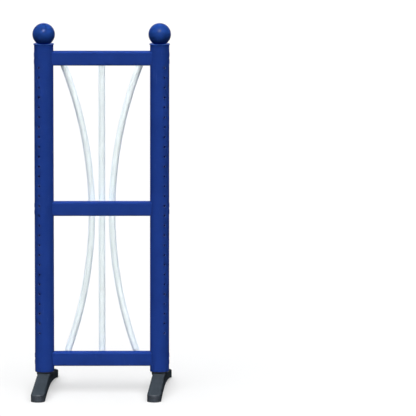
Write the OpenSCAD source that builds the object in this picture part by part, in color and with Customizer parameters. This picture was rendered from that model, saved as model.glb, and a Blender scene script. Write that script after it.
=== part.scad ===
// Show jump wing: two round drilled posts, three coped rails, three white infill tubes,
// ball finials on flanged caps, and two moulded bar feet that swivel under the posts.
// The wing stands on z = 0 with its middle on the z axis; the front looks along -y.

/* [Posts] */
// Outer diameter of a post tube
post_d = 97; // [92:1:110]
// Wall of a post tube
post_wall = 3; // [2.5:0.5:4]
// Distance between the two post axes
post_spacing = 581; // [540:1:700]
// Length of a post tube
post_len = 1661; // [1600:1:1800]

/* [Cup holes] */
// Diameter of a cup pin hole
hole_d = 12; // [8:0.5:14]
// Distance from one cup hole to the next
hole_pitch = 50; // [45:0.5:51]
// Height of the lowest cup hole above the lower end of the post
hole_first = 199; // [170:1:205]
// Least height left between the highest cup hole and the upper end of the post
hole_last = 110; // [95:1:160]
// How far the cup holes stand from the middle of the post, seen from the front
hole_side = 24.2; // [18:0.1:28]

/* [Rails] */
// Height of a rail
rail_h = 70; // [62:1:76]
// Depth of a rail, front to back
rail_d = 56; // [48:1:64]
// Wall of a rail
rail_wall = 3; // [2:0.5:4]
// Outer corner radius of a rail
rail_r = 8; // [5:0.5:12]
// Middle of the bottom rail above the lower end of the post
bottom_rail_up = 62.5; // [60:0.5:70]
// Height of the middle rail above half-way between the other two rails
middle_rail_up = 2.5; // [-150:0.5:150]
// Middle of the top rail below the upper end of the post
top_rail_down = 68.5; // [45:0.5:90]

/* [Infill tubes] */
// Outer diameter of an infill tube
tube_d = 32; // [24:1:36]
// Wall of an infill tube
tube_wall = 2; // [1.5:0.5:3]
// Thickness of the saddle between the rear of a rail and a tube
tube_seat = 3; // [2:0.5:6]
// How far a tube runs past the middle of the top and bottom rails
tube_past = 20; // [17:0.5:22]
// Distance of a bowed tube from the middle at its narrowest place
bow_waist = 51; // [44:1:70]
// Distance, seen from the front, from a bowed tube to the post under the top rail
bow_to_post = 48.5; // [45:0.5:90]
// How far the narrowest place lies below the middle of the middle rail
bow_drop = 31.5; // [0:0.5:60]

/* [Rail joints] */
// Length of the block in the end of a rail
block_len = 26; // [20:1:27]
// Thread diameter of a rail bolt
rail_bolt_d = 8; // [6:1:10]
// Height between the two bolts of a rail end
rail_bolt_gap = 34; // [30:1:38]
// Thickness of a saddle washer at its middle
saddle_t = 5; // [4:0.5:6]
// Diameter of the access hole on the outer side of a post
access_d = 17; // [16:0.5:20]
// Outer diameter of a threaded bush in a rail block
rail_bush_d = 12; // [11:0.5:14]

/* [Caps and balls] */
// How far the cap flange stands out past the post
flange_over = 3.5; // [2:0.5:6]
// Thickness of the cap flange
flange_t = 5; // [4:0.5:8]
// Length of the cap spigot inside the post
cap_spigot = 30; // [20:1:32]
// Wall of the cap spigot
cap_wall = 4; // [3:0.5:6]
// Diameter of a ball
ball_d = 113; // [100:1:130]
// Wall of a ball
ball_wall = 4; // [3:0.5:6]
// Depth of the flat on the bottom of a ball
ball_flat = 9.7; // [6:0.1:14]
// Thread diameter of a ball bolt
ball_bolt_d = 10; // [8:1:12]

/* [Feet] */
// Length of a foot over its round noses
foot_len = 720; // [640:1:800]
// Width of a foot at its waist
foot_waist = 62; // [56:1:66]
// Radius of a nose seen from above
nose_r = 35; // [32:0.5:40]
// Height of a nose
nose_h = 38; // [34:0.5:46]
// Height of the arms next to the hub
arm_h = 86; // [78:0.5:90]
// Length of the level part of an arm from the post axis
arm_level = 85; // [60:1:110]
// Rise of the arch under a foot
arch_h = 30; // [20:0.5:36]
// Length of the flat pad at each end of a foot
pad_len = 50; // [40:1:70]
// Radius of the rounded edges of a foot
foot_edge = 6; // [3:0.5:8]
// Outer wall of the hollow underside of a foot
foot_wall = 5; // [4:0.5:7]
// Turn of the feet out of square with the frame
foot_turn = -5; // [-10:1:0]

/* [Swivel] */
// Diameter of the round hub under the post
hub_d = 80; // [72:1:90]
// How far the hub stands above the arms
hub_rise = 5.8; // [4:0.2:10]
// Height of the straight rim of the hub
hub_rim = 14; // [11:0.5:18]
// Height over which the hub flares out of the sides of the foot
hub_flare = 33; // [20:0.5:40]
// Diameter of the swivel spigot on the hub
spigot_d = 48; // [40:1:50]
// Length of the swivel spigot
spigot_len = 27; // [22:1:27]
// Wall of the swivel spigot
spigot_wall = 6; // [5:0.5:8]
// Thickness of the closed end of the spigot
spigot_end = 12; // [8:0.5:16]
// Wall of the swivel bush round the spigot
bush_wall = 5.9; // [5:0.1:6]
// Thickness of the closed end of the swivel bush
bush_end = 14; // [12:0.5:18]
// Height of the bush collar inside the post
collar_h = 23; // [18:1:24]
// Thickness of the bush lip under the post end
lip_t = 3; // [2:0.5:5]
// Thread diameter of a pivot bolt
pivot_d = 12; // [10:1:14]

/* [Fits] */
// Gap between pieces that are pushed or dropped together
fit = 0.15; // [0.1:0.05:0.25]
// Radial clearance of the turning spigot
swivel_fit = 0.1; // [0.05:0.01:0.1]
// Gap under and over the turning foot
swivel_gap = 0.2; // [0.1:0.05:0.3]
// Radial clearance of a bolt or screw in its hole
bolt_fit = 0.3; // [0.2:0.05:0.5]

/* [Hidden] */
$fn = 72;
hull_fn = 32;
bow_fn = 720;
arch_fn = 360;
eps = 1;

// Posts, heights above the ground; the seam of a post tube is at the rear, clear of the holes
seam_turn = 90;
post_x = post_spacing / 2;
post_r = post_d / 2;
post_bore_r = post_r - post_wall;
hub_top = arm_h + hub_rise;
post_z = hub_top + swivel_gap + lip_t;
post_top = post_z + post_len;
hole_turn = asin(hole_side / post_r);
hole_count = floor((post_len - hole_first - hole_last) / hole_pitch) + 1;

// Rails, heights above the ground
bottom_rail_z = post_z + bottom_rail_up;
top_rail_z = post_top - top_rail_down;
middle_rail_z = (bottom_rail_z + top_rail_z) / 2 + middle_rail_up;
rail_zs = [bottom_rail_z, middle_rail_z, top_rail_z];

// Infill tubes behind the rails: the bow is an arc through its narrowest place and the top rail
tube_r = tube_d / 2;
tube_y = rail_d / 2 + tube_seat + fit + tube_r;
tube_low_z = bottom_rail_z - tube_past;
tube_high_z = top_rail_z + tube_past;
bow_z = middle_rail_z - bow_drop;
bow_rise = top_rail_z - rail_h / 2 - bow_z;
bow_sag = post_x - post_r - bow_to_post - bow_waist;
bow_r = (bow_rise * bow_rise + bow_sag * bow_sag) / (2 * bow_sag);
bow_high = asin((tube_high_z - bow_z) / bow_r);
bow_low = asin((bow_z - tube_low_z) / bow_r);

// Tube fixings, measured from the rear face of a rail backwards where they are not sizes
screw_d = 4.8;
screw_head_d = 9.5;
screw_head_h = 3;
tube_saddle_w = tube_d * 0.75;
tube_saddle_len = 30;
tube_saddle_grip = tube_d / 8;
tube_washer_d = 14;
tube_washer_t = 1.5;
tube_washer_wrap = 1.5;
tube_rear = tube_seat + tube_d + 2 * fit;
tube_bush_d = 9;
tube_bush_len = 10;
tube_bush_rim = 2;
tube_bush_rim_t = 1.5;
tube_screw_len = tube_washer_t + tube_rear + tube_bush_len;
tube_plug_t = 2;
tube_plug_depth = 10;
tube_plug_wall = 2;

// Rail joints, measured from the post axis towards the middle of the wing
saddle_x = post_bore_r - fit - saddle_t;
saddle_d = access_d - 4 * fit;
block_end = post_r + block_len;
block_face_t = 5;
block_pocket_w = rail_d / 2;
block_pocket_h = rail_bolt_gap - 2 * rail_bush_d;
rail_bolt_head_d = rail_bolt_d * 1.6;
rail_bolt_key = rail_bolt_d * 0.75;
rail_bolt_short = 4;
rail_bolt_len = block_end - saddle_x - rail_bolt_short;
rail_bush_sink = 2;
rail_bush_start = post_r + rail_bush_sink;
plug_lip = 2.5;
plug_t = 1;
plug_depth = 4;

// Caps and balls
flange_r = post_r + flange_over;
flange_top = post_top + flange_t;
cap_r = post_bore_r - fit;
cap_boss_d = 30;
cap_boss_h = 10;
cap_rib_t = 3;
cap_ribs = 6;
ball_r = ball_d / 2;
ball_z = flange_top + ball_r - ball_flat;
ball_boss_d = 30;
ball_boss_h = 30;
ball_base_t = 6;
ball_bush_d = ball_bolt_d + 5;
ball_bush_h = 22;
ball_washer_d = 26;
ball_washer_t = 2.5;
ball_bolt_hex = ball_bolt_d * 1.7;
ball_bolt_head_h = 7;

// Feet: the arch is an arc through the inner ends of the two pads
nose_y = foot_len / 2 - nose_r;
arch_half = foot_len / 2 - pad_len;
arch_r = (arch_half * arch_half + arch_h * arch_h) / (2 * arch_h);
arm_overlap = 20;
arm_slope = (arm_h - nose_h) / (foot_len / 2 - foot_edge - arm_level);
pocket_start = hub_d / 2 + foot_wall;
pocket_end = arch_half - foot_wall;
pocket_count = 5;
rib_t = 4;
rib_step = (pocket_end - pocket_start + rib_t) / pocket_count;

// Swivel, heights above the ground
spigot_top = hub_top + spigot_len;
spigot_ceiling = spigot_top - spigot_end;
bush_bore_r = spigot_d / 2 + swivel_fit;
bush_r = bush_bore_r + bush_wall;
bush_ceiling = spigot_top + swivel_gap;
bush_top = bush_ceiling + bush_end;
lip_r = post_r - 2 * fit;
collar_wall = 6;
collar_floor = 6;
collar_ribs = 8;
pivot_hex = pivot_d * 1.5;
pivot_washer_d = pivot_d * 2;
pivot_washer_t = 2.5;
pivot_head_h = 7.5;
nut_h = 10;
nut_sink = 6;
bush_screw_z = post_z + collar_h / 2;
bush_screw_turn = 35;
bush_screw_grip = 5;

post_blue = [0.13, 0.23, 0.52];
tube_white = [0.90, 0.94, 0.95];
foot_grey = [0.27, 0.30, 0.33];
nylon_black = [0.10, 0.10, 0.11];
steel_grey = [0.62, 0.63, 0.65];
brass_yellow = [0.75, 0.60, 0.28];

// Places a piece on a post; x points from the post axis to the middle of the wing
module on_post(side) {
    translate([side * post_x, 0, 0])
        mirror([side > 0 ? 1 : 0, 0, 0])
            children();
}

// Places a piece at both bolts of each rail end, its axis along x through the post axis
module at_rail_bolts() {
    for (z = rail_zs)
        for (s = [-1, 1])
            translate([0, 0, z + s * rail_bolt_gap / 2])
                rotate([0, 90, 0])
                    children();
}

// Places a piece at both bush screws, pointing inwards from the rear of the post
module at_bush_screws() {
    for (a = [-bush_screw_turn, bush_screw_turn])
        rotate([0, 0, a])
            translate([0, post_r, bush_screw_z])
                rotate([90, 0, 0])
                    children();
}

// Places a piece where a tube crosses a rail: z points backwards from the rear face, y along the tube
module at_tube_seats() {
    for (z = rail_zs)
        for (side = [-1, 0, 1])
            translate([side * bow_x(z), rail_d / 2, z])
                rotate([0, side * bow_tilt(z), 0])
                    rotate([-90, 0, 0])
                        children();
}

// Places a piece at each end of the three tubes, z pointing out of the tube
module at_tube_ends() {
    translate([0, tube_y, tube_high_z])
        children();
    translate([0, tube_y, tube_low_z])
        mirror([0, 0, 1])
            children();
    for (side = [-1, 1]) {
        translate([side * bow_x(tube_high_z), tube_y, tube_high_z])
            rotate([0, side * bow_tilt(tube_high_z), 0])
                children();
        translate([side * bow_x(tube_low_z), tube_y, tube_low_z])
            rotate([0, side * bow_tilt(tube_low_z), 0])
                mirror([0, 0, 1])
                    children();
    }
}

// Distance of a bowed tube from the middle of the wing at a height
function bow_x(z) = bow_waist + bow_r - sqrt(bow_r * bow_r - (z - bow_z) * (z - bow_z));

// Lean of a bowed tube at a height
function bow_tilt(z) = asin((z - bow_z) / bow_r);

module ring(outer_r, inner_r, h) {
    difference() {
        cylinder(r = outer_r, h = h);
        translate([0, 0, -eps])
            cylinder(r = inner_r, h = h + 2 * eps);
    }
}

// Hexagon prism with a size across its flats
module hex(flats, h) {
    cylinder(d = flats / cos(30), h = h, $fn = 6);
}

module pan_screw(length) {
    intersection() {
        translate([0, 0, -screw_head_h])
            cylinder(d = screw_head_d, h = screw_head_h);
        translate([0, 0, screw_head_d - screw_head_h])
            sphere(r = screw_head_d);
    }
    cylinder(d = screw_d, h = length);
}

module post() {
    color(post_blue)
        difference() {
            translate([0, 0, post_z])
                rotate([0, 0, seam_turn])
                    ring(post_r, post_bore_r, post_len);
            for (i = [0 : hole_count - 1])
                translate([0, 0, post_z + hole_first + i * hole_pitch])
                    rotate([90, 0, -hole_turn])
                        cylinder(d = hole_d, h = 2 * post_d, center = true);
            at_rail_bolts()
                cylinder(d = rail_bolt_d + 2 * bolt_fit, h = post_d);
            at_rail_bolts()
                mirror([0, 0, 1])
                    cylinder(d = access_d, h = post_d);
            at_bush_screws()
                translate([0, 0, -eps])
                    cylinder(r = screw_d / 2 + fit, h = 2 * post_wall + eps);
        }
}

// Rectangle with round corners, its middle at the origin
module rounded_rect(w, h, r) {
    square([w - 2 * r, h], center = true);
    square([w, h - 2 * r], center = true);
    for (x = [-1, 1])
        for (y = [-1, 1])
            translate([x * (w / 2 - r), y * (h / 2 - r)])
                circle(r = r);
}

// Inner outline of a rail, made smaller all round by a gap
module rail_inside(gap) {
    rounded_rect(
        rail_d - 2 * rail_wall - 2 * gap,
        rail_h - 2 * rail_wall - 2 * gap,
        max(rail_r - rail_wall, 1)
    );
}

// Solid rods along the three infill tubes
module tube_rods(r) {
    translate([0, tube_y, tube_low_z])
        cylinder(r = r, h = tube_high_z - tube_low_z);
    bow_sweep()
        circle(r = r, $fn = hull_fn);
    mirror([1, 0, 0])
        bow_sweep()
            circle(r = r, $fn = hull_fn);
}

// Sweeps an outline along the arc of the left bowed tube
module bow_sweep() {
    translate([-bow_waist - bow_r, tube_y, bow_z])
        rotate([90, 0, 0])
            rotate([0, 0, -bow_low])
                rotate_extrude(angle = bow_low + bow_high, $fn = bow_fn)
                    translate([bow_r, 0])
                        children();
}

// Hollow rail with both ends coped to the round posts
module rail(z) {
    color(post_blue)
        difference() {
            translate([-post_x, 0, z])
                rotate([90, 0, 90])
                    linear_extrude(post_spacing)
                        difference() {
                            rounded_rect(rail_d, rail_h, rail_r);
                            rail_inside(0);
                        }
            for (side = [-1, 1])
                translate([side * post_x, 0, z - rail_h])
                    cylinder(r = post_r + fit, h = 2 * rail_h);
            at_tube_seats()
                translate([0, 0, -2 * rail_wall])
                    cylinder(r = tube_bush_d / 2 + fit, h = 2 * rail_wall + eps);
        }
}

// Moulded block in the end of a rail, with a saddle face against the post
module rail_block(z) {
    color(nylon_black)
        difference() {
            translate([0, 0, z])
                rotate([90, 0, 90])
                    linear_extrude(block_end)
                        rail_inside(fit);
            translate([0, 0, z - rail_h])
                cylinder(r = post_r + fit, h = 2 * rail_h);
            at_rail_bolts()
                cylinder(d = rail_bush_d + 2 * fit, h = post_d);
            translate([post_r + block_face_t, -block_pocket_w / 2, z - block_pocket_h / 2])
                cube([block_len, block_pocket_w, block_pocket_h]);
        }
}

module rail_blocks(z) {
    for (side = [-1, 1])
        on_post(side)
            rail_block(z);
}

module rail_bushes() {
    color(brass_yellow)
        at_rail_bolts()
            translate([0, 0, rail_bush_start])
                ring(rail_bush_d / 2, rail_bolt_d / 2 + fit, block_end - rail_bush_start);
}

// Socket head bolts, their heads inside the post
module rail_bolts() {
    color(steel_grey)
        at_rail_bolts()
            translate([0, 0, saddle_x]) {
                difference() {
                    translate([0, 0, -rail_bolt_d])
                        cylinder(d = rail_bolt_head_d, h = rail_bolt_d);
                    translate([0, 0, -rail_bolt_d - eps])
                        hex(rail_bolt_key, rail_bolt_d / 2 + eps);
                }
                cylinder(d = rail_bolt_d, h = rail_bolt_len);
            }
}

// Washers that are flat under the bolt head and round against the post
module saddle_washers() {
    color(steel_grey)
        intersection() {
            at_rail_bolts()
                translate([0, 0, saddle_x])
                    ring(saddle_d / 2, rail_bolt_d / 2 + bolt_fit, 2 * saddle_t);
            translate([0, 0, post_z])
                cylinder(r = post_bore_r - fit, h = post_len);
        }
}

// Push-in plugs that close the access holes flush with the round of the post
module access_plugs() {
    color(post_blue) {
        intersection() {
            at_rail_bolts()
                mirror([0, 0, 1])
                    cylinder(d = access_d - 2 * fit, h = post_d);
            translate([0, 0, post_z])
                ring(post_r + fit + plug_t, post_bore_r - plug_depth, post_len);
        }
        intersection() {
            at_rail_bolts()
                mirror([0, 0, 1])
                    cylinder(d = access_d + 2 * plug_lip, h = post_d);
            translate([0, 0, post_z])
                ring(post_r + fit + plug_t, post_r + fit, post_len);
        }
    }
}

module centre_tube() {
    color(tube_white)
        difference() {
            translate([0, tube_y, tube_low_z])
                ring(tube_r, tube_r - tube_wall, tube_high_z - tube_low_z);
            at_tube_seats()
                cylinder(r = screw_d / 2 + bolt_fit, h = tube_rear + eps);
        }
}

module bowed_tube() {
    color(tube_white)
        difference() {
            bow_sweep()
                difference() {
                    circle(r = tube_r, $fn = hull_fn);
                    circle(r = tube_r - tube_wall, $fn = hull_fn);
                }
            at_tube_seats()
                cylinder(r = screw_d / 2 + bolt_fit, h = tube_rear + eps);
        }
}

// Push-in plugs that close the ends of the tubes
module tube_plugs() {
    color(tube_white)
        at_tube_ends() {
            cylinder(r = tube_r, h = tube_plug_t);
            translate([0, 0, -tube_plug_depth])
                ring(tube_r - tube_wall - fit, tube_r - tube_wall - fit - tube_plug_wall,
                    tube_plug_depth + tube_plug_t / 2);
        }
}

// Moulded saddles, flat against the rail and hollowed for the tube
module tube_saddles() {
    color(tube_white)
        difference() {
            at_tube_seats()
                translate([-tube_saddle_w / 2, -tube_saddle_len / 2, 0])
                    cube([tube_saddle_w, tube_saddle_len, tube_seat + tube_saddle_grip]);
            tube_rods(tube_r + fit);
            at_tube_seats()
                translate([0, 0, -eps])
                    cylinder(r = screw_d / 2 + bolt_fit, h = tube_rear);
        }
}

// Washers that are flat under the screw head and hollowed for the tube
module tube_washers() {
    color(steel_grey)
        difference() {
            at_tube_seats()
                translate([0, 0, tube_rear - tube_washer_wrap])
                    ring(tube_washer_d / 2, screw_d / 2 + bolt_fit, tube_washer_t + tube_washer_wrap);
            tube_rods(tube_r + fit);
        }
}

// Threaded bushes in the rear wall of the rails, with a rim on the inside
module tube_bushes() {
    color(brass_yellow)
        at_tube_seats()
            translate([0, 0, -tube_bush_len]) {
                ring(tube_bush_d / 2, screw_d / 2 + fit, tube_bush_len);
                translate([0, 0, tube_bush_len - rail_wall - tube_bush_rim_t])
                    ring(tube_bush_d / 2 + tube_bush_rim, screw_d / 2 + fit, tube_bush_rim_t);
            }
}

module tube_screws() {
    color(steel_grey)
        at_tube_seats()
            translate([0, 0, tube_rear + tube_washer_t])
                mirror([0, 0, 1])
                    pan_screw(tube_screw_len);
}

// Flanged cap with a ribbed spigot inside the post
module cap() {
    color(post_blue)
        difference() {
            union() {
                translate([0, 0, post_top])
                    rotate_extrude() {
                        square([flange_r - flange_t / 2, flange_t]);
                        translate([flange_r - flange_t / 2, flange_t / 2])
                            circle(d = flange_t);
                    }
                translate([0, 0, post_top - cap_spigot])
                    ring(cap_r, cap_r - cap_wall, cap_spigot + eps);
                translate([0, 0, post_top - cap_boss_h])
                    cylinder(d = cap_boss_d, h = cap_boss_h + eps);
                for (i = [0 : cap_ribs - 1])
                    rotate([0, 0, i * 360 / cap_ribs])
                        translate([0, -cap_rib_t / 2, post_top - cap_boss_h])
                            cube([cap_r - cap_wall / 2, cap_rib_t, cap_boss_h + eps]);
            }
            translate([0, 0, post_top - cap_spigot - eps])
                cylinder(r = ball_bolt_d / 2 + bolt_fit, h = cap_spigot + flange_t + 2 * eps);
        }
}

// Hollow ball with a flat base and a boss for its threaded bush
module ball() {
    color(post_blue)
        translate([0, 0, ball_z])
            difference() {
                sphere(r = ball_r);
                translate([-ball_r, -ball_r, -2 * ball_r])
                    cube([ball_d, ball_d, ball_r + ball_flat]);
                difference() {
                    sphere(r = ball_r - ball_wall);
                    translate([-ball_r, -ball_r, -2 * ball_r])
                        cube([ball_d, ball_d, ball_r + ball_flat + ball_base_t]);
                    translate([0, 0, -ball_r])
                        cylinder(d = ball_boss_d, h = ball_flat + ball_boss_h);
                }
                translate([0, 0, -ball_r])
                    cylinder(r = ball_bush_d / 2 + fit, h = ball_flat + ball_boss_h + eps);
            }
}

module ball_bush() {
    color(brass_yellow)
        translate([0, 0, flange_top + fit])
            ring(ball_bush_d / 2, ball_bolt_d / 2 + fit, ball_bush_h);
}

module ball_washer() {
    color(steel_grey)
        translate([0, 0, post_top - cap_boss_h - ball_washer_t])
            ring(ball_washer_d / 2, ball_bolt_d / 2 + bolt_fit, ball_washer_t);
}

module ball_bolt() {
    color(steel_grey)
        translate([0, 0, post_top - cap_boss_h - ball_washer_t]) {
            translate([0, 0, -ball_bolt_head_h])
                hex(ball_bolt_hex, ball_bolt_head_h);
            cylinder(d = ball_bolt_d, h = ball_washer_t + cap_boss_h + flange_t + ball_bush_h);
        }
}

// Nylon bush in the lower end of the post: lip, ribbed collar and closed sleeve
module swivel_bush() {
    color(nylon_black)
        difference() {
            union() {
                translate([0, 0, post_z - lip_t])
                    cylinder(r = lip_r, h = lip_t);
                translate([0, 0, post_z - eps])
                    cylinder(r = post_bore_r - fit, h = collar_h + eps);
                translate([0, 0, post_z])
                    cylinder(r = bush_r, h = bush_top - post_z);
            }
            difference() {
                translate([0, 0, post_z + collar_floor])
                    ring(post_bore_r - fit - collar_wall, bush_r, collar_h);
                for (i = [0 : collar_ribs - 1])
                    rotate([0, 0, i * 360 / collar_ribs])
                        translate([0, -rib_t / 2, post_z])
                            cube([post_bore_r, rib_t, collar_h]);
            }
            translate([0, 0, post_z - lip_t - eps])
                cylinder(r = bush_bore_r, h = bush_ceiling - post_z + lip_t + eps);
            translate([0, 0, post_z])
                cylinder(r = pivot_d / 2 + bolt_fit, h = bush_top);
            translate([0, 0, bush_top - nut_sink])
                hex(pivot_hex + 2 * fit, nut_sink + eps);
            at_bush_screws()
                cylinder(r = screw_d / 2 + fit, h = post_wall + fit + collar_wall);
        }
}

module bush_screws() {
    color(steel_grey)
        at_bush_screws()
            pan_screw(post_wall + bush_screw_grip);
}

// One arm of a foot: level by the hub, sloping down and flaring out to its round nose
module arm() {
    hull($fn = hull_fn) {
        translate([0, -arm_level, 0])
            rotate([-90, 0, 0])
                mirror([0, 1, 0])
                    linear_extrude(arm_level + arm_overlap)
                        arm_section($fn = hull_fn);
        translate([0, -nose_y, 0])
            rotate_extrude($fn = hull_fn)
                nose_section($fn = hull_fn);
    }
}

// Cross-section of the level part of an arm, standing on the x axis
module arm_section() {
    translate([-foot_waist / 2, 0])
        square([foot_waist, arm_h - foot_edge]);
    for (x = [-1, 1])
        translate([x * (foot_waist / 2 - foot_edge), arm_h - foot_edge])
            circle(r = foot_edge);
}

// Half outline of the round nose, to be turned about the z axis
module nose_section() {
    square([nose_r - foot_edge, nose_h]);
    square([nose_r, nose_h - foot_edge]);
    translate([nose_r - foot_edge, nose_h - foot_edge])
        circle(r = foot_edge);
}

// Hollows between the ribs on the underside of one arm
module arm_pockets() {
    ceiling = arm_h - foot_wall;
    low_ceiling = ceiling - arm_slope * (pocket_end - arm_level);
    difference() {
        translate([foot_wall - foot_waist / 2, 0, 0])
            rotate([90, 0, 90])
                linear_extrude(foot_waist - 2 * foot_wall)
                    polygon([
                        [-pocket_end, -eps],
                        [-pocket_start, -eps],
                        [-pocket_start, ceiling],
                        [-arm_level, ceiling],
                        [-pocket_end, low_ceiling]
                    ]);
        for (i = [1 : pocket_count - 1])
            translate([-foot_waist / 2, -pocket_start - i * rib_step, -eps])
                cube([foot_waist, rib_t, arm_h]);
    }
}

// Moulded bar foot with an arched, ribbed underside and a hollow swivel spigot
module foot_body() {
    difference() {
        union() {
            arm();
            mirror([0, 1, 0])
                arm();
            translate([0, 0, hub_top - hub_rim - hub_flare])
                cylinder(d1 = foot_waist - 2 * foot_edge, d2 = hub_d, h = hub_flare);
            translate([0, 0, hub_top - hub_rim])
                cylinder(d = hub_d, h = hub_rim);
            cylinder(d = spigot_d, h = spigot_top);
        }
        translate([0, 0, arch_h - arch_r])
            rotate([0, 90, 0])
                cylinder(r = arch_r, h = 2 * hub_d, center = true, $fn = arch_fn);
        arm_pockets();
        mirror([0, 1, 0])
            arm_pockets();
        translate([0, 0, -eps])
            cylinder(r = spigot_d / 2 - spigot_wall, h = spigot_ceiling + eps);
        cylinder(r = pivot_d / 2 + bolt_fit, h = spigot_top + eps);
    }
}

module foot(side) {
    color(foot_grey)
        translate([side * post_x, 0, 0])
            rotate([0, 0, foot_turn])
                foot_body();
}

module pivot_bolt() {
    seat = spigot_ceiling - swivel_gap - pivot_washer_t;
    color(steel_grey) {
        translate([0, 0, seat - pivot_head_h])
            hex(pivot_hex, pivot_head_h);
        translate([0, 0, seat])
            cylinder(d = pivot_d, h = bush_top - nut_sink + nut_h - seat);
    }
}

module pivot_washer() {
    color(steel_grey)
        translate([0, 0, spigot_ceiling - swivel_gap - pivot_washer_t])
            ring(pivot_washer_d / 2, pivot_d / 2 + bolt_fit, pivot_washer_t);
}

module pivot_nut() {
    color(steel_grey)
        translate([0, 0, bush_top - nut_sink])
            difference() {
                hex(pivot_hex, nut_h);
                translate([0, 0, -eps])
                    cylinder(r = pivot_d / 2 + fit, h = nut_h + 2 * eps);
            }
}

on_post(-1) post();  // left_post
on_post(1) post();  // right_post
rail(bottom_rail_z);  // bottom_rail
rail(middle_rail_z);  // middle_rail
rail(top_rail_z);  // top_rail
rail_blocks(bottom_rail_z);  // bottom_rail_blocks
rail_blocks(middle_rail_z);  // middle_rail_blocks
rail_blocks(top_rail_z);  // top_rail_blocks
on_post(-1) rail_bushes();  // left_rail_bushes
on_post(1) rail_bushes();  // right_rail_bushes
on_post(-1) rail_bolts();  // left_rail_bolts
on_post(1) rail_bolts();  // right_rail_bolts
on_post(-1) saddle_washers();  // left_saddle_washers
on_post(1) saddle_washers();  // right_saddle_washers
on_post(-1) access_plugs();  // left_access_plugs
on_post(1) access_plugs();  // right_access_plugs
centre_tube();
bowed_tube();  // left_bowed_tube
mirror([1, 0, 0]) bowed_tube();  // right_bowed_tube
tube_plugs();
tube_saddles();
tube_washers();
tube_bushes();
tube_screws();
on_post(-1) cap();  // left_cap
on_post(1) cap();  // right_cap
on_post(-1) ball();  // left_ball
on_post(1) ball();  // right_ball
on_post(-1) ball_bush();  // left_ball_bush
on_post(1) ball_bush();  // right_ball_bush
on_post(-1) ball_bolt();  // left_ball_bolt
on_post(1) ball_bolt();  // right_ball_bolt
on_post(-1) ball_washer();  // left_ball_washer
on_post(1) ball_washer();  // right_ball_washer
on_post(-1) swivel_bush();  // left_swivel_bush
on_post(1) swivel_bush();  // right_swivel_bush
on_post(-1) bush_screws();  // left_bush_screws
on_post(1) bush_screws();  // right_bush_screws
foot(-1);  // left_foot
foot(1);  // right_foot
on_post(-1) pivot_bolt();  // left_pivot_bolt
on_post(1) pivot_bolt();  // right_pivot_bolt
on_post(-1) pivot_washer();  // left_pivot_washer
on_post(1) pivot_washer();  // right_pivot_washer
on_post(-1) pivot_nut();  // left_pivot_nut
on_post(1) pivot_nut();  // right_pivot_nut
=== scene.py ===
import math

import bmesh
import bpy
from mathutils import Matrix, Vector


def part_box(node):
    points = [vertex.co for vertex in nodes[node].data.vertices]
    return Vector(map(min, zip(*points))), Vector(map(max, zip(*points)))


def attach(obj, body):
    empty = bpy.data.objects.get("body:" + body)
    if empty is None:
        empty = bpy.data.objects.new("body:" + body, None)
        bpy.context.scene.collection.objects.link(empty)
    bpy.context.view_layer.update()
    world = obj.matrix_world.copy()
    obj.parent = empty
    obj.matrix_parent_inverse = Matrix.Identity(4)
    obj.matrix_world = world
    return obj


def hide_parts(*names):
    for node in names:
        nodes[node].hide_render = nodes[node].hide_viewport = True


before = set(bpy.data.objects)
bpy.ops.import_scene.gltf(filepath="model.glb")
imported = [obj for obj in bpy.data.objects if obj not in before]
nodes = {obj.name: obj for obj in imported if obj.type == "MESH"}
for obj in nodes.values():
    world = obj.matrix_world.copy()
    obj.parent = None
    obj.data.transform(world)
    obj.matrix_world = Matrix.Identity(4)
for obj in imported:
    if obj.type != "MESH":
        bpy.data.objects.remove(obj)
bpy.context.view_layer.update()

# Places of the posts and balls, from the frame, in metres
post_low, post_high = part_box("right_post")
POST_X = (post_low.x + post_high.x) / 2
POST_R = (post_high.x - post_low.x) / 2
ball_low, ball_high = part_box("right_ball")
BALL_Z = ball_high.z - (ball_high.x - ball_low.x) / 2

# Cup holes of the posts, in metres: HOLE_SIDE is how far they lie beside a post's axis at its skin,
# HOLE_ROW_END how far past the row their rubbed marks end
HOLE_FIRST_Z = 0.294
HOLE_LAST_Z = 1.644
HOLE_PITCH = 0.05
HOLE_R = 0.006
HOLE_SIDE = 0.0242
HOLE_ROW_END = 0.01
HOLE_RUB_IN = 1.02 * HOLE_R
HOLE_RUB_OUT = 1.22 * HOLE_R

# Socket head screws, in metres
SCREW_R = 0.0024
SCREW_HEAD_R = 0.00475
SCREW_HEAD_H = 0.003
SCREW_HEAD_ROUND = 0.0095
SCREW_HEAD_EDGE = 0.0002
SCREW_KEY = 0.004
SCREW_KEY_DEPTH = 0.0017
SCREW_PITCH = 0.0016
SCREW_THREAD = 0.00035
SCREW_THREADED = 0.016
SCREW_PLAIN = 0.001
SCREW_TIP = 0.0004
SCREW_SIDES = 24
DOME_RINGS = 5
RINGS_A_TURN = 6
SHARP_ANGLE = math.radians(40)

# Screws of the swivel bushes: their turn from straight back, and their length below the head
BUSH_SCREW_TURN = math.radians(35)
BUSH_SCREW_LENGTH = 0.008

# Heights and widths of marks on the mouldings, in metres
SEAM_FOOT = 0.0006
SEAM_CREST = 0.0002
DUST_FULL = 0.002
DUST_TOP = 0.022
# Painted light on the fronts of the feet's toes: the height where it is full, and the height where
# it ends
TOE_LIGHT_FULL = 0.035
TOE_LIGHT_TOP = 0.055

# Waves to the metre, along x, y and z, of marks that run in one direction
RUB_STREAKS = (60, 60, 9)
FOOT_SCRATCHES = (240, 22, 240)

# Masks: the cosine of an edge's bend and the share of open sky at which they start and are full
EDGE_STARTS = 0.995
EDGE_FULL = 0.85
RECESS_STARTS = 0.85
RECESS_FULL = 0.45
BEVEL_SAMPLES = 6
RECESS_SAMPLES = 8

# Sockets of a Mix node that mixes colours
MIX_FACTOR, MIX_FIRST, MIX_SECOND, MIX_RESULT = 0, 6, 7, 2

# Most of a noise lies between these
NOISE_LOW = 0.3
NOISE_HIGH = 0.7

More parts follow.
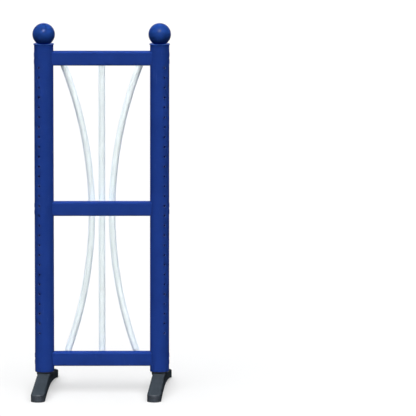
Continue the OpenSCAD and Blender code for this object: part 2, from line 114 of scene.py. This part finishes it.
# Floor: half its side in metres, how it shows, what it bounces, and its own glow
FLOOR_HALF = 60.0
FLOOR_SEEN = (0.36, 0.36, 0.36, 1)
FLOOR_BOUNCE = (0.03, 0.03, 0.03, 1)
FLOOR_GLOW = 0.41
PLAIN_WHITE = (1, 1, 1, 1)


class Wire:
    """A socket in a finish's node tree. Arithmetic on it adds Math nodes."""

    def __init__(self, tree, socket=None):
        self.tree = tree
        self.socket = socket

    def node(self, kind, settings=None, sockets=None, out=0):
        """Adds any other node: its settings first, then its sockets' values or links."""
        made = self.tree.nodes.new("ShaderNode" + kind)
        for name, value in (settings or {}).items():
            setattr(made, name, value)
        for key, value in (sockets or {}).items():
            if isinstance(value, Wire):
                self.tree.links.new(value.socket, made.inputs[key])
            else:
                made.inputs[key].default_value = value
        return Wire(self.tree, made.outputs[out] if made.outputs else None)

    def maths(self, operation, *values):
        """Adds a Math node with the values as its inputs."""
        return self.node("Math", {"operation": operation}, dict(enumerate(values)))

    def __add__(self, other):
        return self.maths("ADD", self, other)

    def __radd__(self, other):
        return self.maths("ADD", other, self)

    def __sub__(self, other):
        return self.maths("SUBTRACT", self, other)

    def __rsub__(self, other):
        return self.maths("SUBTRACT", other, self)

    def __mul__(self, other):
        return self.maths("MULTIPLY", self, other)

    def __rmul__(self, other):
        return self.maths("MULTIPLY", other, self)

    def __truediv__(self, other):
        return self.maths("DIVIDE", self, other)


def srgb(red, green, blue):
    """Linear colour of a colour given in 0 to 255 screen values."""

    def linear(value):
        value /= 255
        if value <= 0.04045:
            return value / 12.92
        return ((value + 0.055) / 1.055) ** 2.4

    return (linear(red), linear(green), linear(blue), 1)


# Colours of the finishes
BLUE = srgb(31, 57, 129)
BLUE_DEEP = srgb(29, 54, 124)
BLUE_WORN = srgb(74, 104, 172)
BARE_ALUMINIUM = srgb(168, 174, 184)
WHITE = srgb(232, 240, 240)
WHITE_DEEP = srgb(228, 237, 238)
WHITE_WORN = srgb(206, 212, 218)
# Blue tint of the sheen: a painted reflection of blue surroundings along the rims of the tubes
BLUE_RIM_REFLECTION = srgb(116, 162, 235)
BALL_BLUE = srgb(28, 59, 127)
BALL_DEEP = srgb(25, 55, 121)
FOOT_GREY = srgb(52, 58, 64)
FOOT_DEEP = srgb(47, 53, 59)
FOOT_WORN = srgb(112, 117, 122)
# Painted light on the fronts of the feet's toes
FOOT_TOE_LIGHT = srgb(110, 113, 126)
FLOOR_DUST = srgb(134, 124, 108)
SADDLE_WHITE = srgb(234, 240, 242)
SADDLE_DEEP = srgb(226, 233, 236)
SADDLE_WORN = srgb(196, 200, 204)
NYLON_GREY = srgb(34, 34, 35)
NYLON_BLACK = srgb(22, 22, 23)
ZINC_COOL = srgb(170, 173, 179)
ZINC_WARM = srgb(180, 178, 171)
ZINC_SPOT = srgb(136, 137, 140)
# Painted shade in the key holes of the screws
RECESS_SHADE = srgb(38, 37, 36)
BRASS_BRIGHT = srgb(206, 172, 98)
BRASS_DEEP = srgb(182, 148, 78)


def ease(value, none, full):
    """0 at the value none and 1 at the value full, with soft ends."""
    return value.node(
        "MapRange",
        {"interpolation_type": "SMOOTHSTEP"},
        {"Value": value, "From Min": none, "From Max": full},
    )


def tint(factor, first, second):
    """Colour that goes from the first to the second with the factor."""
    sockets = {MIX_FACTOR: factor, MIX_FIRST: first, MIX_SECOND: second}
    return factor.node("Mix", {"data_type": "RGBA"}, sockets, MIX_RESULT)


def place_on_part(start):
    """Place on the wing in metres, which turns with the piece."""
    return start.node("TexCoord", out="Object")


def axes(place):
    """The x, y and z of a place or a direction."""
    made = place.node("SeparateXYZ", sockets={0: place}).socket.node
    return [Wire(place.tree, made.outputs[i]) for i in range(3)]


def size_of(value):
    """The value without its sign."""
    return value.maths("ABSOLUTE", value)


def grain(place, waves, detail=2.0, rough=0.5):
    """Noise from 0 to 1, with so many waves to the metre."""
    return place.node(
        "TexNoise",
        sockets={"Vector": place, "Scale": waves, "Detail": detail, "Roughness": rough},
    )


def patches(place, waves, none, full, detail=3, rough=0.5):
    """Patches of a noise: 0 where it is at none, 1 where it is at full."""
    return ease(grain(place, waves, detail, rough), none, full)


def streaks(place, waves, none, full, detail, rough):
    """Patches with their own number of waves to the metre along x, y and z."""
    stretched = place.node("VectorMath", {"operation": "MULTIPLY"}, {0: place, 1: waves})
    return patches(stretched, 1, none, full, detail, rough)


def edge_mask(start, radius):
    """1 along sharp edges of a piece, 0 on its faces."""
    rounded = start.node("Bevel", {"samples": BEVEL_SAMPLES}, {"Radius": radius})
    plain = start.node("NewGeometry", out="Normal")
    along = start.node(
        "VectorMath", {"operation": "DOT_PRODUCT"}, {0: rounded, 1: plain}, "Value"
    )
    return ease(along, EDGE_STARTS, EDGE_FULL)


def recess_mask(start, reach):
    """1 deep in a recess or a corner narrower than the reach, 0 in the open."""
    settings = {"samples": RECESS_SAMPLES, "only_local": True}
    open_sky = start.node("AmbientOcclusion", settings, {"Distance": reach}, "AO")
    return ease(open_sky, RECESS_STARTS, RECESS_FULL)


def bumped(height, strength, depth, radius):
    """Normal with the height as relief, over edges rounded by the radius."""
    rounded = height.node("Bevel", {"samples": BEVEL_SAMPLES}, {"Radius": radius})
    return height.node(
        "Bump",
        sockets={"Height": height, "Strength": strength, "Distance": depth, "Normal": rounded},
    )


def finish(name, build):
    """Material whose Principled sockets come from a function of its node tree."""
    material = bpy.data.materials.new(name)
    material.use_nodes = True
    material.node_tree.nodes.clear()
    start = Wire(material.node_tree)
    shader = start.node("BsdfPrincipled", sockets=build(start))
    start.node("OutputMaterial", sockets={"Surface": shader})
    return material


def hole_rims(place):
    """Patchy ring round each cup hole, where the pins of the cups rub."""
    x, y, z = axes(place)
    turn = math.asin(HOLE_SIDE / POST_R)
    across = (size_of(x) - POST_X) * math.cos(turn) + y * math.sin(turn)
    steps = (z - HOLE_FIRST_Z) / HOLE_PITCH
    up = (steps - steps.maths("ROUND", steps)) * HOLE_PITCH
    away = across.maths("SQRT", across * across + up * up)
    ring = ease(away, HOLE_RUB_OUT, HOLE_RUB_IN)
    below_row = ease(z, HOLE_FIRST_Z - HOLE_ROW_END, HOLE_FIRST_Z - 2 * HOLE_ROW_END)
    above_row = ease(z, HOLE_LAST_Z + HOLE_ROW_END, HOLE_LAST_Z + 2 * HOLE_ROW_END)
    patch = patches(place, waves=260, none=0.42, full=0.6, detail=4, rough=0.65)
    return ring * patch * (1 - below_row) * (1 - above_row)


def powder_coat(colour, deep, worn, roughness, specular, edge_wear, sheen=0.0, bared=None):
    """Baked powder coat: orange peel, slight clouding, a few rubbed streaks and rubbed edges.

    bared is a function of the place that gives where the coat is rubbed through to the metal.
    """

    def build(start):
        place = place_on_part(start)
        peel = grain(place, waves=360) + 0.3 * grain(place, waves=2200, detail=1)
        cloud = grain(place, waves=7, detail=4, rough=0.6)
        rub = streaks(place, RUB_STREAKS, none=0.6, full=0.78, detail=5, rough=0.65)
        edge = edge_mask(start, radius=0.0012) * patches(place, waves=70, none=0.42, full=0.62)
        tone = tint(ease(cloud, NOISE_LOW, NOISE_HIGH), deep, colour)
        tone = tint(0.16 * rub + edge_wear * edge, tone, worn)
        if bared:
            tone = tint(0.4 * bared(place), tone, BARE_ALUMINIUM)
        return {
            "Base Color": tone,
            "Roughness": roughness + 0.10 * cloud + 0.10 * rub,
            "Specular IOR Level": specular,
            # Sheen tinted blue: a painted reflection of blue surroundings along the rims; only the
            # tubes have sheen
            "Sheen Weight": sheen,
            "Sheen Roughness": 0.4,
            "Sheen Tint": BLUE_RIM_REFLECTION,
            "Normal": bumped(peel, strength=0.7, depth=0.0005, radius=0.0008),
        }

    return build


def ball_plastic(start):
    """Smooth moulded plastic with a faint seam round the ball."""
    place = place_on_part(start)
    z = axes(place)[2]
    seam = ease(size_of(z - BALL_Z), SEAM_FOOT, SEAM_CREST)
    flow = grain(place, waves=28, detail=3, rough=0.55)
    fine = grain(place, waves=1500)
    smudge = patches(place, waves=55, none=0.48, full=0.7, detail=4, rough=0.6)
    relief = 0.5 * seam + 0.10 * flow + 0.005 * fine
    return {
        "Base Color": tint(ease(flow, NOISE_LOW, NOISE_HIGH), BALL_DEEP, BALL_BLUE),
        "Roughness": 0.28 + 0.03 * smudge + 0.02 * fine,
        "Specular IOR Level": 0.0075,
        "Normal": bumped(relief, strength=0.3, depth=0.0004, radius=0.0006),
    }


def foot_plastic(start):
    """Dark moulded plastic: fine grain, rubbed edges, painted light on the fronts of the toes,
    glossier top, dust low down.
    """
    place = place_on_part(start)
    z = axes(place)[2]
    sideways, endways, _ = axes(start.node("TexCoord", out="Normal"))
    fine = grain(place, waves=900, detail=3, rough=0.6)
    coarse = grain(place, waves=240)
    cloud = grain(place, waves=14, detail=4, rough=0.6)
    scratch = streaks(place, FOOT_SCRATCHES, none=0.66, full=0.74, detail=3, rough=0.7)
    edge = edge_mask(start, radius=0.002) * patches(place, waves=90, none=0.4, full=0.62)
    settled = patches(place, waves=45, none=0.4, full=0.7, detail=5, rough=0.65)
    dust = ease(z, DUST_TOP, DUST_FULL) * settled
    off_sides = ease(size_of(sideways), none=0.8, full=0.4)
    # Painted light: low on the fronts of the toes the colour is lighter in patches, standing in for
    # light on a rounded nose
    lit_toe = ease(size_of(endways), none=0.35, full=0.7) * ease(z, TOE_LIGHT_TOP, TOE_LIGHT_FULL)
    rubbed = patches(place, waves=120, none=0.35, full=0.65, detail=4, rough=0.65)
    toe_light = lit_toe * (0.6 + 0.8 * rubbed)
    tone = tint(ease(cloud, NOISE_LOW, NOISE_HIGH), FOOT_DEEP, FOOT_GREY)
    tone = tint(0.22 * edge + 0.08 * scratch, tone, FOOT_WORN)
    tone = tint(0.12 * toe_light, tone, FOOT_TOE_LIGHT)
    tone = tint(0.08 * dust, tone, FLOOR_DUST)
    return {
        "Base Color": tone,
        "Roughness": 0.44 + 0.12 * fine + 0.08 * dust,
        "Specular IOR Level": 0.0,
        "Coat Weight": 0.075 * off_sides,
        "Coat Roughness": 0.42,
        "Normal": bumped(fine + 0.6 * coarse, strength=0.8, depth=0.0005, radius=0.004),
    }


def white_plastic(start):
    """White moulded plastic of the tube saddles and plugs."""
    place = place_on_part(start)
    fine = grain(place, waves=900, detail=3, rough=0.6)
    edge = edge_mask(start, radius=0.0008) * patches(place, waves=120, none=0.45, full=0.65)
    tone = tint(grain(place, waves=40, detail=3), SADDLE_DEEP, SADDLE_WHITE)
    return {
        "Base Color": tint(0.3 * edge, tone, SADDLE_WORN),
        "Roughness": 0.38 + 0.12 * fine,
        "Specular IOR Level": 0.2,
        "Normal": bumped(fine, strength=0.2, depth=0.0003, radius=0.0006),
    }


def nylon(start):
    """Black nylon of the swivel bushes."""
    place = place_on_part(start)
    fine = grain(place, waves=800, detail=3, rough=0.6)
    return {
        "Base Color": tint(grain(place, waves=30, detail=3), NYLON_BLACK, NYLON_GREY),
        "Roughness": 0.42 + 0.12 * fine,
        "Specular IOR Level": 0.35,
        "Normal": bumped(fine, strength=0.25, depth=0.0003, radius=0.0006),
    }


def zinc(start):
    """Zinc plated steel with a faint warm and cool bloom, and painted shade, dark and dull, in its
    key holes.
    """
    place = place_on_part(start)
    bloom = grain(place, waves=160, detail=3, rough=0.6)
    fine = grain(place, waves=2600)
    spots = patches(place, waves=620, none=0.62, full=0.74, rough=0.7)
    # Painted shade: where the key holes are shut in, they are made dark, duller and less metallic
    recess_shade = recess_mask(start, reach=0.002)
    tone = tint(ease(bloom, NOISE_LOW, NOISE_HIGH), ZINC_COOL, ZINC_WARM)
    tone = tint(0.35 * spots, tone, ZINC_SPOT)
    return {
        "Base Color": tint(0.9 * recess_shade, tone, RECESS_SHADE),
        "Metallic": 1 - 0.7 * recess_shade,
        "Roughness": 0.22 + 0.10 * fine + 0.15 * spots + 0.3 * recess_shade,
        "Normal": bumped(fine, strength=0.15, depth=0.0002, radius=0.0004),
    }


def brass(start):
    """Brass of the threaded bushes."""
    place = place_on_part(start)
    fine = grain(place, waves=2400)
    return {
        "Base Color": tint(grain(place, waves=200, detail=3, rough=0.6), BRASS_DEEP, BRASS_BRIGHT),
        "Metallic": 1.0,
        "Roughness": 0.26 + 0.14 * fine,
        "Normal": bumped(fine, strength=0.15, depth=0.0002, radius=0.0004),
    }


rail_coat = powder_coat(BLUE, BLUE_DEEP, BLUE_WORN, roughness=0.46, specular=0.0, edge_wear=0.35)
post_coat = powder_coat(
    BLUE, BLUE_DEEP, BLUE_WORN, roughness=0.46, specular=0.0, edge_wear=0.30, bared=hole_rims
)
tube_coat = powder_coat(
    WHITE, WHITE_DEEP, WHITE_WORN, roughness=0.40, specular=0.08, edge_wear=0.35, sheen=0.8
)
finishes = {
    "blue_coat": finish("blue_coat_finish", rail_coat),
    "post_coat": finish("post_coat_finish", post_coat),
    "white_coat": finish("white_coat_finish", tube_coat),
    "blue_plastic": finish("blue_plastic_finish", ball_plastic),
    "foot_plastic": finish("foot_plastic_finish", foot_plastic),
    "nylon": finish("nylon_finish", nylon),
    "white_plastic": finish("white_plastic_finish", white_plastic),
    "steel": finish("zinc_finish", zinc),
    "brass": finish("brass_finish", brass),
}


def dress_nodes():
    """Gives each CAD node the finish of its slot; posts and their plugs have the posts' paint."""
    for name, part in nodes.items():
        key = part.data.materials[0].name.split(".")[0]
        if name.endswith("_post"):
            key = "post_coat"
        if name.endswith("_access_plugs"):
            key = "blue_coat"
        part.data.materials[0] = finishes[key]


def solid_boxes(node):
    """Lowest and highest corner of each separate solid of a node, sorted by place."""
    copy = bmesh.new()
    copy.from_mesh(nodes[node].data)
    bmesh.ops.remove_doubles(copy, verts=copy.verts, dist=1e-5)
    left = set(copy.verts)
    boxes = []
    while left:
        reach = [left.pop()]
        for corner in reach:
            near = {edge.other_vert(corner) for edge in corner.link_edges} & left
            left -= near
            reach.extend(near)
        spans = [[corner.co[axis] for corner in reach] for axis in range(3)]
        boxes.append((Vector(map(min, spans)), Vector(map(max, spans))))
    copy.free()
    return sorted(boxes, key=lambda box: [round(value, 4) for value in box[0][:]])


def key_hole(angle):
    """How far the wall of a screw's six-sided key hole lies from the screw's axis."""
    flat = math.radians(60)
    return SCREW_KEY / 2 / math.cos((angle % flat) - flat / 2)


def dome(radius):
    """Height of a screw's domed head above its seat."""
    drop = SCREW_HEAD_ROUND - math.sqrt(SCREW_HEAD_ROUND**2 - radius**2)
    return SCREW_HEAD_H - drop


def round_ring(radius, height):
    """Plain ring of one radius and height."""
    return lambda angle: (radius, height)


def thread_ring(turns, start):
    """Ring of a thread after so many turns down from its start, deepest on one side."""

    def ring(angle):
        depth = SCREW_THREAD * (0.5 - 0.5 * math.cos(2 * math.pi * turns - angle))
        return (SCREW_R - depth, start - (turns + 0.5) * SCREW_PITCH)

    return ring


def screw_rings(length):
    """Rings of a screw from the floor of its key hole to its tip, z = 0 under the head.

    Each ring is a function of the angle that gives a radius and a height.
    """
    mouth = SCREW_KEY / math.sqrt(3)
    rim = SCREW_HEAD_R - SCREW_HEAD_EDGE
    rings = [
        lambda angle: (key_hole(angle), SCREW_HEAD_H - SCREW_KEY_DEPTH),
        lambda angle: (key_hole(angle), dome(mouth) - SCREW_HEAD_EDGE),
        round_ring(mouth + SCREW_HEAD_EDGE, dome(mouth + SCREW_HEAD_EDGE)),
    ]
    for i in range(1, DOME_RINGS + 1):
        radius = mouth + (rim - mouth) * i / DOME_RINGS
        rings.append(round_ring(radius, dome(radius)))
    rings.append(round_ring(SCREW_HEAD_R, dome(SCREW_HEAD_R) - SCREW_HEAD_EDGE))
    rings.append(round_ring(SCREW_HEAD_R, 0))
    rings.append(round_ring(SCREW_R, 0))
    threaded = min(SCREW_THREADED, length - SCREW_PLAIN)
    start = threaded - length
    rings.append(round_ring(SCREW_R, start))
    turns = int(threaded / SCREW_PITCH) - 1
    rings += [thread_ring(i / RINGS_A_TURN, start) for i in range(turns * RINGS_A_TURN)]
    rings.append(round_ring(SCREW_R - SCREW_THREAD, SCREW_TIP - length))
    rings.append(round_ring(SCREW_R - 2 * SCREW_THREAD, -length))
    return rings


def add_screw(build, seat, outward, length):
    """Adds a socket head screw: its seat under the head, the way its head points, its length."""
    turn = outward.to_track_quat("Z", "Y").to_matrix()
    angles = [2 * math.pi * i / SCREW_SIDES for i in range(SCREW_SIDES)]
    rows = []
    for ring in screw_rings(length):
        row = []
        for angle in angles:
            radius, height = ring(angle)
            local = Vector((radius * math.cos(angle), radius * math.sin(angle), height))
            row.append(build.verts.new(seat + turn @ local))
        rows.append(row)
    build.faces.new(rows[0])
    build.faces.new(rows[-1][::-1])
    for upper, lower in zip(rows, rows[1:]):
        for i in range(SCREW_SIDES):
            j = (i + 1) % SCREW_SIDES
            build.faces.new((upper[i], lower[i], lower[j], upper[j]))


def make_screws(name, node, screws):
    """Piece of socket head screws in place of a node's plain ones."""
    build = bmesh.new()
    for seat, outward, length in screws:
        add_screw(build, seat, outward, length)
    bmesh.ops.recalc_face_normals(build, faces=build.faces)
    mesh = bpy.data.meshes.new(name)
    build.to_mesh(mesh)
    build.free()
    mesh.materials.append(finishes["steel"])
    mesh.shade_smooth()
    mesh.set_sharp_from_angle(angle=SHARP_ANGLE)
    piece = bpy.data.objects.new(name, mesh)
    bpy.context.scene.collection.objects.link(piece)
    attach(piece, "wing_frame")
    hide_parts(node)


def make_tube_screws():
    """Screws through the tubes from the rear, one to each place where a tube crosses a rail."""
    rearward = Vector((0, 1, 0))
    screws = []
    for low, high in solid_boxes("tube_screws"):
        middle = (low + high) / 2
        seat = Vector((middle.x, high.y - SCREW_HEAD_H, middle.z))
        screws.append((seat, rearward, seat.y - low.y))
    make_screws("tube_socket_screws", "tube_screws", screws)


def make_bush_screws(side, name):
    """Two screws through the rear of a post into its swivel bush."""
    low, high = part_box(name + "_bush_screws")
    axis = Vector((side * POST_X, 0, (low.z + high.z) / 2))
    screws = []
    for turn in (-BUSH_SCREW_TURN, BUSH_SCREW_TURN):
        outward = Vector((math.sin(turn), math.cos(turn), 0))
        screws.append((axis + POST_R * outward, outward, BUSH_SCREW_LENGTH))
    make_screws(name + "_bush_socket_screws", name + "_bush_screws", screws)


def seen_or_mirrored(start):
    """1 for what the eye sees straight, in a mirror or through glass; 0 for light that bounces."""
    rays = start.node("LightPath").socket.node.outputs
    names = ("Is Camera Ray", "Is Glossy Ray", "Is Transmission Ray")
    straight, mirrored, through = [Wire(start.tree, rays[name]) for name in names]
    seen = straight + mirrored + through
    return seen.maths("MINIMUM", seen, 1)


def pale_floor(start):
    """White to the eye, with the shadow kept; darker to the light that bounces."""
    seen = seen_or_mirrored(start)
    matt = start.node("BsdfDiffuse", sockets={"Color": tint(seen, FLOOR_BOUNCE, FLOOR_SEEN)})
    glow = start.node("Emission", sockets={"Color": PLAIN_WHITE, "Strength": FLOOR_GLOW * seen})
    return start.node("AddShader", sockets={0: matt, 1: glow})


def make_floor():
    """Wide plain floor at z = 0."""
    mesh = bpy.data.meshes.new("floor")
    signs = ((-1, -1), (1, -1), (1, 1), (-1, 1))
    corners = [(x * FLOOR_HALF, y * FLOOR_HALF, 0) for x, y in signs]
    mesh.from_pydata(corners, [], [(0, 1, 2, 3)])
    floor = bpy.data.objects.new("floor", mesh)
    bpy.context.scene.collection.objects.link(floor)
    material = bpy.data.materials.new("pale_floor")
    material.use_nodes = True
    material.node_tree.nodes.clear()
    start = Wire(material.node_tree)
    start.node("OutputMaterial", sockets={"Surface": pale_floor(start)})
    mesh.materials.append(material)
    return floor


def make_world(low, high, colour):
    """Soft dome that lights more from overhead, and is plain white to the eye."""
    world = bpy.data.worlds.new("studio")
    bpy.context.scene.world = world
    world.use_nodes = True
    world.node_tree.nodes.clear()
    start = Wire(world.node_tree)
    seen = seen_or_mirrored(start)
    height = axes(start.node("TexCoord", out="Generated"))[2]
    level = low + (high - low) * ease(height, none=0.0, full=0.6)
    glow = start.node(
        "Background",
        sockets={
            "Color": tint(seen, colour, PLAIN_WHITE),
            "Strength": level * (1 - seen) + seen,
        },
    )
    start.node("OutputWorld", sockets={"Surface": glow})


def soft_sun(name, azimuth, elevation, level, spread):
    """Even soft light; a level of 1 shows a facing surface at its own colour."""
    lamp = bpy.data.lights.new(name, "SUN")
    lamp.energy = level * math.pi
    lamp.angle = math.radians(spread)
    sun = bpy.data.objects.new(name, lamp)
    side, lift = math.radians(azimuth), math.radians(elevation)
    towards = Vector(
        (math.sin(side) * math.cos(lift), -math.cos(side) * math.cos(lift), math.sin(lift))
    )
    sun.rotation_mode = "QUATERNION"
    sun.rotation_quaternion = towards.to_track_quat("Z", "Y")
    bpy.context.scene.collection.objects.link(sun)
    return sun


def light_group(name, pieces, state):
    """Pieces that a light takes in, or leaves out, by the state INCLUDE or EXCLUDE."""
    group = bpy.data.collections.new(name)
    for piece in pieces:
        group.objects.link(piece)
    for entry in group.collection_objects:
        entry.light_linking.link_state = state
    return group


def make_lights(floor):
    """Soft light on the wing and on its balls, a small lamp for gloss, and the floor's own light."""
    key = soft_sun("key_light", azimuth=-3, elevation=55.5, level=1.70, spread=80)
    top = soft_sun("top_light", azimuth=0, elevation=88, level=0.22, spread=130)
    rear = soft_sun("rear_light", azimuth=172, elevation=10, level=1.0, spread=50)
    crown = soft_sun("crown_light", azimuth=-3, elevation=57, level=1.66, spread=50)
    spark = soft_sun("spark_light", azimuth=-2, elevation=44, level=16, spread=5)
    wash = soft_sun("floor_light", azimuth=-8, elevation=73, level=1.76, spread=92)

    balls = [nodes["left_ball"], nodes["right_ball"]]
    feet = [nodes["left_foot"], nodes["right_foot"]]
    upper_rails = [nodes["middle_rail"], nodes["top_rail"]]
    bodywork = [part for part in nodes.values() if part not in balls]
    matt_parts = [part for part in bodywork if part not in feet]

    # The soft lights give no gloss, and no shadow of a ball or an upper rail on what is below it
    shadowless = light_group("shadowless", upper_rails + balls, "EXCLUDE")
    for light in (key, top, rear, crown):
        light.visible_glossy = False
        light.light_linking.blocker_collection = shadowless
    spark.visible_diffuse = False

    # The key leaves out the balls, the crown the other nodes, the spark the nodes without gloss
    wing_alone = light_group("wing_alone", [floor], "EXCLUDE")
    top.light_linking.receiver_collection = wing_alone
    rear.light_linking.receiver_collection = wing_alone
    key.light_linking.receiver_collection = light_group("off_key", balls + [floor], "EXCLUDE")
    crown.light_linking.receiver_collection = light_group(
        "off_crown", bodywork + [floor], "EXCLUDE"
    )
    spark.light_linking.receiver_collection = light_group(
        "off_spark", matt_parts + [floor], "EXCLUDE"
    )
    wash.light_linking.receiver_collection = light_group("floor_alone", [floor], "INCLUDE")


def make_camera():
    """Long lens in front of the wing, a little above it, in pixels, metres and radians."""
    focal_px, frame_px, sensor = 5196.44, 416, 36.0
    place = Vector((0.197269, -25.8351, 5.04481))
    yaw, pitch, roll = 0.0130349, 0.158042, 0.00183721
    ahead = Vector(
        (math.sin(yaw) * math.cos(pitch), math.cos(yaw) * math.cos(pitch), -math.sin(pitch))
    )
    right = Vector((math.cos(yaw), -math.sin(yaw), 0))
    up = right.cross(ahead)
    tilted_right = math.cos(roll) * right + math.sin(roll) * up
    tilted_up = math.cos(roll) * up - math.sin(roll) * right
    lens = bpy.data.cameras.new("camera")
    lens.sensor_width = sensor
    lens.lens = focal_px / frame_px * sensor
    lens.clip_start, lens.clip_end = 0.5, 200
    camera = bpy.data.objects.new("camera", lens)
    turn = Matrix((tilted_right, tilted_up, -ahead)).transposed().to_4x4()
    camera.matrix_world = Matrix.Translation(place) @ turn
    bpy.context.scene.collection.objects.link(camera)
    bpy.context.scene.camera = camera


dress_nodes()
make_tube_screws()
make_bush_screws(-1, "left")
make_bush_screws(1, "right")
make_lights(make_floor())
make_world(low=0.03, high=0.06, colour=(0.70, 0.85, 1, 1))
make_camera()
bpy.context.scene.view_settings.view_transform = "Standard"
